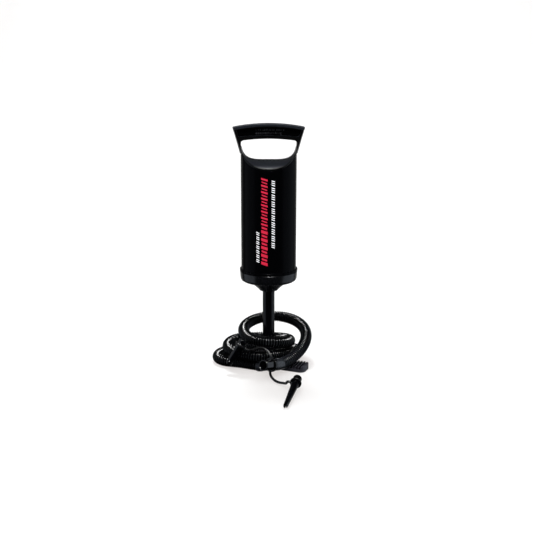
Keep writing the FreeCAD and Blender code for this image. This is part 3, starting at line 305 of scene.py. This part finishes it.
# painted highlight: the barrel's bevelled edges are paler than the barrel, so its lip reads as a thin light line
EDGE_HIGHLIGHT = plastic("barrel_edge", (0.0140, 0.0150, 0.0180), (0.0200, 0.0215, 0.0250), 0.16, 0.24, 1200.0, 0.000006, spec=0.9)
LEASH = rubber("leash_rubber", (0.0022, 0.0022, 0.0026), (0.0045, 0.0045, 0.0052), 0.24)
SEALR = rubber("seal_rubber", (0.010, 0.010, 0.010), (0.022, 0.022, 0.022), 0.6)
VALVER = rubber("valve_rubber", (0.20, 0.035, 0.025), (0.30, 0.060, 0.045), 0.6)
BUSH = plastic("bush_white", (0.60, 0.59, 0.55), (0.72, 0.71, 0.67), 0.35, 0.5, 900.0, 0.00003)
PISTON = plastic("piston_grey", (0.045, 0.048, 0.052), (0.07, 0.074, 0.08), 0.4, 0.55, 900.0, 0.00004)
TUBE = plastic("inner_tube_grey", (0.16, 0.165, 0.18), (0.22, 0.225, 0.24), 0.35, 0.5, 900.0, 0.00003)
STEEL = metal("screw_steel", (0.45, 0.45, 0.46), (0.68, 0.68, 0.70), 0.3)
RED = ink("print_red", (0.66, 0.006, 0.042), (0.40, 0.006, 0.028))
WHITE = ink("print_white", (0.92, 0.92, 0.94), (0.62, 0.62, 0.64))

NODE_MAT = {
    "barrel_tube": BARREL, "handle": HANDLE, "bottom_cap": SATIN, "guide_bush": BUSH, "gland_nut": SATIN, "cap_o_ring": SEALR,
    "rod_lip_seal": SEALR, "rod_o_ring": SEALR, "piston_seal": SEALR, "base_gasket": SEALR, "rod_outer_tube": ROD,
    "rod_inner_tube": TUBE, "piston_body": PISTON, "piston_cover": PISTON, "piston_screws": STEEL, "base_screws": STEEL,
    "valve_intake_upper": VALVER, "valve_intake_lower": VALVER, "valve_exhaust_upper": VALVER, "valve_exhaust_lower": VALVER,
    "foot_base": FOOT, "base_bottom_cover": FOOT, "hose": HOSE, "hose_base_cuff": CUFF, "hose_end_cuff": CUFF,
    "hose_end_fitting": GLOSS, "nozzle_leash": LEASH, "nozzle_slim": NOZZLE, "nozzle_wide": NOZZLE,
}
BEVEL = {"barrel_tube": 0.0008, "handle": 0.0012, "bottom_cap": 0.0005, "foot_base": 0.0006, "nozzle_slim": 0.0003, "nozzle_wide": 0.0003,
         "hose_end_fitting": 0.0002, "hose_end_cuff": 0.0002, "hose_base_cuff": 0.0002}


def dress(obj, mat, bevel=0.0, edge_mat=None):
    obj.data.materials.clear()
    obj.data.materials.append(mat)
    for p in obj.data.polygons:
        p.material_index = 0
    if bevel > 0:
        w = obj.modifiers.new("weld", "WELD")
        w.merge_threshold = 0.000005
        b = obj.modifiers.new("edge_round", "BEVEL")
        b.width = bevel
        b.segments = 3
        b.limit_method = "ANGLE"
        b.angle_limit = math.radians(32)
        b.use_clamp_overlap = True
        b.harden_normals = False
        if edge_mat is not None:
            obj.data.materials.append(edge_mat)
            b.material = 1
        n = obj.modifiers.new("soft_normals", "WEIGHTED_NORMAL")
        n.keep_sharp = False


for name, obj in nodes.items():
    dress(obj, NODE_MAT.get(name, SATIN), BEVEL.get(name, 0.0), EDGE_HIGHLIGHT if name == "barrel_tube" else None)


# ---------------------------------------------------------------- helpers for built pieces
def mesh_object(name, verts, faces, mat, smooth=True):
    me = bpy.data.meshes.new(name)
    me.from_pydata([tuple(v) for v in verts], [], faces)
    me.validate()
    me.update()
    o = bpy.data.objects.new(name, me)
    scene.collection.objects.link(o)
    me.materials.append(mat)
    if smooth:
        for p in me.polygons:
            p.use_smooth = True
    return o


# ---------------------------------------------------------------- corrugated hose
HOSE_PTS = [(23.42, -37.64, 17.53), (32.66, -30.90, 20.35), (41.18, -24.07, 24.80), (48.36, -16.17, 29.79), (53.87, -6.97, 34.64),
    (57.53, 3.33, 39.04), (59.19, 14.32, 42.98), (58.69, 25.53, 46.56), (55.89, 36.48, 49.87), (50.70, 46.61, 52.85),
    (43.23, 55.34, 55.36), (33.84, 62.19, 57.24), (23.09, 66.86, 58.37), (11.55, 69.21, 58.68), (-0.21, 69.17, 58.22),
    (-11.63, 66.56, 57.12), (-21.95, 61.15, 55.58), (-30.29, 53.04, 53.91), (-35.93, 42.83, 52.41), (-38.73, 31.44, 51.33),
    (-39.26, 19.69, 50.70), (-38.14, 7.95, 50.43), (-35.56, -3.55, 50.35), (-31.12, -14.45, 50.30), (-24.16, -23.93, 50.24),
    (-14.54, -30.67, 50.05), (-3.21, -33.65, 49.45), (8.40, -32.53, 48.26), (18.86, -27.54, 46.52), (26.96, -19.31, 44.45),
    (31.73, -8.81, 42.25), (32.57, 2.69, 40.05), (29.43, 13.81, 37.93), (22.98, 23.44, 35.98), (14.14, 31.03, 34.34),
    (3.80, 36.51, 33.12), (-7.42, 40.02, 32.35), (-19.10, 41.62, 32.00), (-30.86, 41.06, 31.89), (-42.22, 37.98, 31.74),
    (-52.31, 31.99, 31.32), (-59.85, 23.05, 30.56), (-63.51, 11.97, 29.60), (-62.74, 0.30, 28.73), (-58.18, -10.52, 28.16),
    (-50.99, -19.85, 27.88), (-42.10, -27.56, 27.71), (-31.82, -33.30, 27.49), (-20.44, -36.20, 27.13), (-8.73, -35.48, 26.66),
    (2.24, -31.27, 26.09), (12.04, -24.75, 25.44), (21.11, -17.26, 24.51), (29.80, -9.41, 23.07), (37.74, -0.96, 21.01),
    (44.05, 8.65, 18.46), (47.67, 19.50, 15.70), (47.83, 30.97, 13.16), (44.35, 42.01, 11.18), (37.59, 51.54, 9.92),
    (28.28, 58.68, 9.32), (17.35, 63.00, 9.16), (5.68, 64.56, 9.15), (-6.09, 63.85, 9.16), (-17.65, 61.51, 9.15),
    (-28.98, 58.22, 9.15), (-40.12, 54.33, 9.15), (-51.02, 49.82, 9.15), (-61.39, 44.22, 9.15), (-70.55, 36.83, 9.15),
    (-77.29, 27.20, 9.15), (-80.06, 15.83, 9.15), (-77.64, 4.41, 9.16), (-70.30, -4.67, 9.29), (-60.08, -10.46, 9.55),
    (-48.96, -14.38, 9.76), (-37.86, -18.38, 9.74), (-26.98, -22.95, 9.61)]


def spline_through(points, t0, t1, step):
    """Cubic through the points with chord-length knots and fixed end directions, resampled evenly."""
    n = len(points)
    h = [(points[i + 1] - points[i]).length for i in range(n - 1)]
    # solve the tridiagonal system for the point tangents
    a = [0.0] * n
    b = [1.0] * n
    c = [0.0] * n
    d = [Vector((0, 0, 0)) for _ in range(n)]
    d[0], d[-1] = t0.copy(), t1.copy()
    for i in range(1, n - 1):
        a[i] = h[i]
        b[i] = 2 * (h[i - 1] + h[i])
        c[i] = h[i - 1]
        d[i] = 3 * (h[i] * (points[i] - points[i - 1]) / h[i - 1] + h[i - 1] * (points[i + 1] - points[i]) / h[i])
    for i in range(1, n):
        w = a[i] / b[i - 1]
        b[i] -= w * c[i - 1]
        d[i] = d[i] - w * d[i - 1]
    tan = [None] * n
    tan[-1] = d[-1] / b[-1]
    for i in range(n - 2, -1, -1):
        tan[i] = (d[i] - c[i] * tan[i + 1]) / b[i]
    fine = []
    for i in range(n - 1):
        k = max(4, int(h[i] / 0.0004))
        for j in range(k):
            t = j / k
            t2, t3 = t * t, t * t * t
            fine.append((2 * t3 - 3 * t2 + 1) * points[i] + (t3 - 2 * t2 + t) * h[i] * tan[i] + (-2 * t3 + 3 * t2) * points[i + 1] + (t3 - t2) * h[i] * tan[i + 1])
    fine.append(points[-1])
    out = [fine[0]]
    acc = 0.0
    nxt = step
    for p, q in zip(fine[:-1], fine[1:]):
        seg = (q - p).length
        while acc + seg >= nxt:
            out.append(p.lerp(q, (nxt - acc) / seg))
            nxt += step
        acc += seg
    if (out[-1] - fine[-1]).length > step * 0.3:
        out.append(fine[-1])
    return out


def frames_along(pts):
    """Rotation-minimising frames along a polyline."""
    n = len(pts)
    tans = []
    for i in range(n):
        t = pts[min(i + 1, n - 1)] - pts[max(i - 1, 0)]
        tans.append(t.normalized())
    ref = Vector((0, 0, 1)) if abs(tans[0].z) < 0.9 else Vector((1, 0, 0))
    u = (ref - tans[0] * ref.dot(tans[0])).normalized()
    res = []
    for i in range(n):
        if i:
            v1 = pts[i] - pts[i - 1]
            c1 = v1.dot(v1)
            if c1 > 0:
                rl = u - v1 * (2 / c1 * v1.dot(u))
                tl = tans[i - 1] - v1 * (2 / c1 * v1.dot(tans[i - 1]))
                v2 = tans[i] - tl
                c2 = v2.dot(v2)
                u = rl - v2 * (2 / c2 * v2.dot(rl)) if c2 > 1e-12 else rl
            u = (u - tans[i] * u.dot(tans[i])).normalized()
        res.append((tans[i], u.copy(), tans[i].cross(u)))
    return res


def build_hose():
    """Corrugated hose: round-crested ribs with narrow grooves, smooth at both ends inside the sleeves."""
    yaw = math.radians(-22.7)
    fit_u = Vector((0.62, 0.753, -0.22)).normalized()
    mouth = Vector((-8.3, -73.6, 25.9))
    start = mouth + fit_u * 24.1
    bend = mouth + fit_u * 38.0
    pd = Vector((math.cos(yaw), math.sin(yaw), 0))
    rot = Matrix.Rotation(yaw, 3, "Z")
    pend = rot @ Vector((0.5, -31.6, 9.6))
    pbend = pend - pd * 8.5
    pts = [start + (bend - start) * (k / 4) for k in range(5)] + [Vector(p) for p in HOSE_PTS] + [pbend + (pend - pbend) * (k / 3) for k in range(4)]
    pts = [p * MM for p in pts]
    per = 8
    pitch = 3.4 * MM
    centre = spline_through(pts, fit_u, pd, pitch / per)
    fr = frames_along(centre)
    seg = 36
    # depth below the crest through one rib
    groove = [1.0, 0.86, 0.46, 0.12, 0.0, 0.12, 0.46, 0.86]
    verts, faces, tone, fade = [], [], [], []
    n = len(centre)
    r_out, depth, r_in = 8.9 * MM, 1.9 * MM, 6.4 * MM
    head, tail = 48, 12
    for i in range(n):
        g = groove[i % per]
        if i < head or i >= n - tail:
            g = 0.06
        r = r_out - depth * g
        t, u, v = fr[i]
        for k in range(seg):
            a = 2 * math.pi * k / seg
            verts.append(centre[i] + (u * math.cos(a) + v * math.sin(a)) * r)
            tone.append(1.0 - g)
            fade.append(min(1.0, max(0.0, (72.0 * MM - i * pitch / per) / (34.0 * MM))))
    m = len(verts)
    for i in range(n):
        t, u, v = fr[i]
        for k in range(seg):
            a = 2 * math.pi * k / seg
            verts.append(centre[i] + (u * math.cos(a) + v * math.sin(a)) * r_in)
            tone.append(0.3)
            fade.append(0.0)
    for i in range(n - 1):
        for k in range(seg):
            k2 = (k + 1) % seg
            a, b, c, d = i * seg + k, i * seg + k2, (i + 1) * seg + k2, (i + 1) * seg + k
            faces.append((a, b, c, d))
            faces.append((m + d, m + c, m + b, m + a))
    for k in range(seg):
        k2 = (k + 1) % seg
        faces.append((k2, k, m + k, m + k2))
        e = (n - 1) * seg
        faces.append((e + k, e + k2, m + e + k2, m + e + k))
    o = mesh_object("hose_corrugated", verts, faces, HOSE)
    at = o.data.attributes.new("rib", "FLOAT", "POINT")
    at.data.foreach_set("value", tone)
    at = o.data.attributes.new("near_end", "FLOAT", "POINT")
    at.data.foreach_set("value", fade)
    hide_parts("hose")
    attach(o, "base")
    return o


build_hose()


# ---------------------------------------------------------------- print on the barrel: generic slanted marks
lo_b, hi_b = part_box("barrel_tube")
R_B = 0.0417


def wrap_patch(bm, x0, x1, z0, z1, slant, th=0.00006, lift=0.00002, nx=6):
    """Thin closed patch lying on the barrel wall; x is measured round the wall from the front."""
    rows = []
    for layer in (lift, lift + th):
        for (za, zb) in ((z0, z1),):
            grid = []
            for j, z in enumerate((za, zb)):
                line = []
                for i in range(nx + 1):
                    x = x0 + (x1 - x0) * i / nx
                    zz = z + slant * (i / nx)
                    ang = x / R_B
                    r = R_B + layer
                    line.append(bm.verts.new((r * math.sin(ang), -r * math.cos(ang), zz)))
                grid.append(line)
            rows.append(grid)
    lo, hi = rows
    for i in range(nx):
        bm.faces.new((hi[0][i], hi[0][i + 1], hi[1][i + 1], hi[1][i]))
        bm.faces.new((lo[1][i], lo[1][i + 1], lo[0][i + 1], lo[0][i]))
        bm.faces.new((lo[0][i], lo[0][i + 1], hi[0][i + 1], hi[0][i]))
        bm.faces.new((hi[1][i], hi[1][i + 1], lo[1][i + 1], lo[1][i]))
    bm.faces.new((lo[0][0], hi[0][0], hi[1][0], lo[1][0]))
    bm.faces.new((hi[0][nx], lo[0][nx], lo[1][nx], hi[1][nx]))


def print_object(name, mat, build):
    bm = bmesh.new()
    build(bm)
    bmesh.ops.recalc_face_normals(bm, faces=bm.faces)
    me = bpy.data.meshes.new(name)
    bm.to_mesh(me)
    bm.free()
    o = bpy.data.objects.new(name, me)
    scene.collection.objects.link(o)
    me.materials.append(mat)
    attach(o, "barrel")
    return o


def red_marks(bm):
    """Column of plain slanted bars, thin ones first and heavy ones toward the foot of the barrel."""
    z = 0.3008
    x0, x1 = -0.0112, -0.0016
    slant = -0.0026
    i = 0
    while z > 0.1745:
        heavy = z < 0.234
        thick = (0.0046, 0.0030)[i % 2] if heavy else (0.0028, 0.0019)[i % 2]
        gap = 0.0021 if heavy else 0.0024
        inset = 0.0 if i % 2 == 0 else 0.0008
        wrap_patch(bm, x0 + inset, x1 - inset, z - thick, z, slant)
        z -= thick + gap
        i += 1


def white_marks(bm):
    """Two columns of short slanted dashes of equal width beside the red one."""
    def run(x0, x1, z_top, z_bot, pitches):
        z = z_top
        i = 0
        while z > z_bot:
            wrap_patch(bm, x0, x1, z - 0.0015, z, -0.0016, nx=3)
            z -= pitches[i % len(pitches)]
            i += 1
    run(0.0042, 0.0090, 0.2972, 0.1958, (0.0030, 0.0030, 0.0042))
    run(-0.0188, -0.0142, 0.2208, 0.1745, (0.0028, 0.0040))


print_object("print_red_marks", RED, red_marks)
print_object("print_white_marks", WHITE, white_marks)


# ---------------------------------------------------------------- raised marks in the grip pockets
def grip_marks(bm):
    rnd = random.Random(11)
    for side in (-1, 1):
        y = side * 0.0036
        for row, (zc, hh) in enumerate(((0.3668, 0.0016), (0.3618, 0.0016))):
            x = -0.0195
            end = 0.0225 if row == 0 else 0.0185
            while x < end:
                w = rnd.choice([0.0011, 0.0016, 0.0023])
                z0 = zc - hh - 0.0009 * (x / 0.045) ** 2 * 4
                p = []
                for yy in (y - side * 0.0002, y + side * 0.00035):
                    inset = 0.0 if yy == y - side * 0.0002 else 0.0002
                    p.append([bm.verts.new((x + inset, yy, z0 + inset)), bm.verts.new((x + w - inset, yy, z0 + inset)),
                              bm.verts.new((x + w - inset, yy, z0 + 2 * hh - inset)), bm.verts.new((x + inset, yy, z0 + 2 * hh - inset))])
                bm.faces.new(p[0])
                bm.faces.new(p[1])
                for k in range(4):
                    bm.faces.new((p[0][k], p[0][(k + 1) % 4], p[1][(k + 1) % 4], p[1][k]))
                x += w + rnd.choice([0.0008, 0.0010, 0.0019])


print_object("grip_raised_marks", MARKS, grip_marks)

# ---------------------------------------------------------------- stage, light, camera
fm, fnt, fb = new_mat("floor_white")
fvec = coords(fnt)
fnt.links.new(mix_rgb(fnt, ramp(fnt, noise(fnt, fvec, 6.0, 3.0), 0.0, 1.0), (0.27, 0.285, 0.29), (0.29, 0.305, 0.31)), fb.inputs["Base Color"])
fb.inputs["Roughness"].default_value = 0.85
fb.inputs["Specular IOR Level"].default_value = 0.0
# a little glow seen by the camera only, so shadows on the floor stay faint and warm
fb.inputs["Emission Color"].default_value = (1.0, 0.955, 0.935, 1.0)
flp = fnt.nodes.new("ShaderNodeLightPath")
fmul = fnt.nodes.new("ShaderNodeMath")
fmul.operation = "MULTIPLY"
fmul.inputs[1].default_value = 0.64
fnt.links.new(flp.outputs["Is Camera Ray"], fmul.inputs[0])
fnt.links.new(fmul.outputs[0], fb.inputs["Emission Strength"])


def build_floor():
    bm = bmesh.new()
    prof = [(-3.0, 0.0), (1.2, 0.0)]
    for k in range(1, 13):
        a = math.pi / 2 * k / 12
        prof.append((1.2 + 1.0 * math.sin(a), 1.0 - 1.0 * math.cos(a)))
    prof.append((2.2, 4.0))
    rows = []
    for y, z in prof:
        rows.append([bm.verts.new((x, y, z)) for x in (-4.0, 4.0)])
    for a, b in zip(rows[:-1], rows[1:]):
        bm.faces.new((a[0], a[1], b[1], b[0]))
    me = bpy.data.meshes.new("studio_floor")
    bm.to_mesh(me)
    bm.free()
    o = bpy.data.objects.new("studio_floor", me)
    scene.collection.objects.link(o)
    me.materials.append(fm)
    for p in me.polygons:
        p.use_smooth = True
    o.visible_glossy = False
    o.visible_shadow = False
    return o


build_floor()


def area(name, loc, target, size, power, size_y=None, color=(1, 1, 1)):
    ld = bpy.data.lights.new(name, "AREA")
    ld.energy = power
    ld.color = color
    ld.shape = "RECTANGLE"
    ld.size = size
    ld.size_y = size_y or size
    o = bpy.data.objects.new(name, ld)
    scene.collection.objects.link(o)
    o.location = loc
    o.rotation_mode = "QUATERNION"
    o.rotation_quaternion = (Vector(target) - Vector(loc)).to_track_quat("-Z", "Y")
    return o


area("key_top", (-0.08, 0.50, 1.62), (0, 0, 0.12), 0.40, 30, 0.30)
area("key_front", (0.10, -1.02, 1.62), (0, 0, 0.10), 0.60, 55, 0.30)
area("left_box", (-1.20, -0.06, 0.05), (0, 0, 0.05), 1.3, 3.2, 1.7, (0.80, 0.88, 1.0))
area("right_box", (1.20, 0.04, 0.05), (0, 0, 0.05), 1.5, 4.4, 1.7, (0.80, 0.88, 1.0))
area("front_fill", (0.0, -1.15, 1.15), (0, 0, 0.2), 0.9, 8, 0.7)
area("back_wash", (0.0, 1.4, 1.6), (0, 2.2, 0.9), 2.4, 30, 1.0)
for n_ in ("left_box", "right_box", "key_top", "key_front", "front_fill", "back_wash"):
    bpy.data.objects[n_].visible_camera = False
# these three only make highlights, the fill makes none; the key from above does the lighting
for n_ in ("left_box", "right_box", "key_front"):
    bpy.data.objects[n_].visible_diffuse = False
bpy.data.objects["front_fill"].visible_glossy = False

w = bpy.data.worlds.new("studio")
scene.world = w
w.use_nodes = True
wt = w.node_tree
bg = wt.nodes["Background"]
lp = wt.nodes.new("ShaderNodeLightPath")


def wmath(op, a, b):
    m = wt.nodes.new("ShaderNodeMath")
    m.operation = op
    for k, v in enumerate((a, b)):
        if isinstance(v, (int, float)):
            m.inputs[k].default_value = v
        else:
            wt.links.new(v, m.inputs[k])
    return m.outputs["Value"]


# white surround for the camera, a soft dome overhead; reflections see white only behind the object
WORLD_CAM, WORLD_FILL, WORLD_GLOSS = 1.0, 0.03, 0.55
tc = wt.nodes.new("ShaderNodeTexCoord")
sep = wt.nodes.new("ShaderNodeSeparateXYZ")
wt.links.new(tc.outputs["Generated"], sep.inputs[0])
mr = wt.nodes.new("ShaderNodeMapRange")
mr.interpolation_type = "SMOOTHSTEP"
mr.inputs["From Min"].default_value = 0.55
mr.inputs["From Max"].default_value = 0.97
mr.inputs["To Min"].default_value = 0.004
mr.inputs["To Max"].default_value = WORLD_GLOSS
wt.links.new(sep.outputs["Y"], mr.inputs["Value"])
low = wt.nodes.new("ShaderNodeMapRange")
low.interpolation_type = "SMOOTHSTEP"
low.inputs["From Min"].default_value = -0.10
low.inputs["From Max"].default_value = 0.12
low.inputs["To Min"].default_value = 1.0
low.inputs["To Max"].default_value = 0.12
wt.links.new(sep.outputs["Z"], low.inputs["Value"])
dome = wt.nodes.new("ShaderNodeMapRange")
dome.interpolation_type = "SMOOTHSTEP"
dome.inputs["From Min"].default_value = 0.45
dome.inputs["From Max"].default_value = 0.80
dome.inputs["To Min"].default_value = WORLD_FILL
dome.inputs["To Max"].default_value = 1.2
wt.links.new(sep.outputs["Z"], dome.inputs["Value"])
strength = wmath("ADD", wmath("MULTIPLY", lp.outputs["Is Camera Ray"], WORLD_CAM),
                 wmath("ADD", wmath("MULTIPLY", lp.outputs["Is Diffuse Ray"], dome.outputs["Result"]), wmath("MULTIPLY", lp.outputs["Is Glossy Ray"], wmath("MULTIPLY", mr.outputs["Result"], low.outputs["Result"]))))
wt.links.new(strength, bg.inputs["Strength"])
bg.inputs["Color"].default_value = (1, 1, 1, 1)
scene.view_settings.view_transform = "Standard"
scene.view_settings.look = "None"
scene.view_settings.exposure = 0.0

cam_data = bpy.data.cameras.new("camera")
cam = bpy.data.objects.new("camera", cam_data)
scene.collection.objects.link(cam)
cam_data.sensor_fit = "HORIZONTAL"
cam_data.sensor_width = 36.0
cam_data.lens = 867.0 / 533.0 * 36.0
cam_data.clip_start, cam_data.clip_end = 0.01, 50.0
cam.location = (-0.003288, -1.288438, 0.472373)
pitch = math.radians(13.67)
look = Vector((0.0, math.cos(pitch), -math.sin(pitch)))
cam.rotation_mode = "QUATERNION"
cam.rotation_quaternion = look.to_track_quat("-Z", "Y")
scene.camera = cam
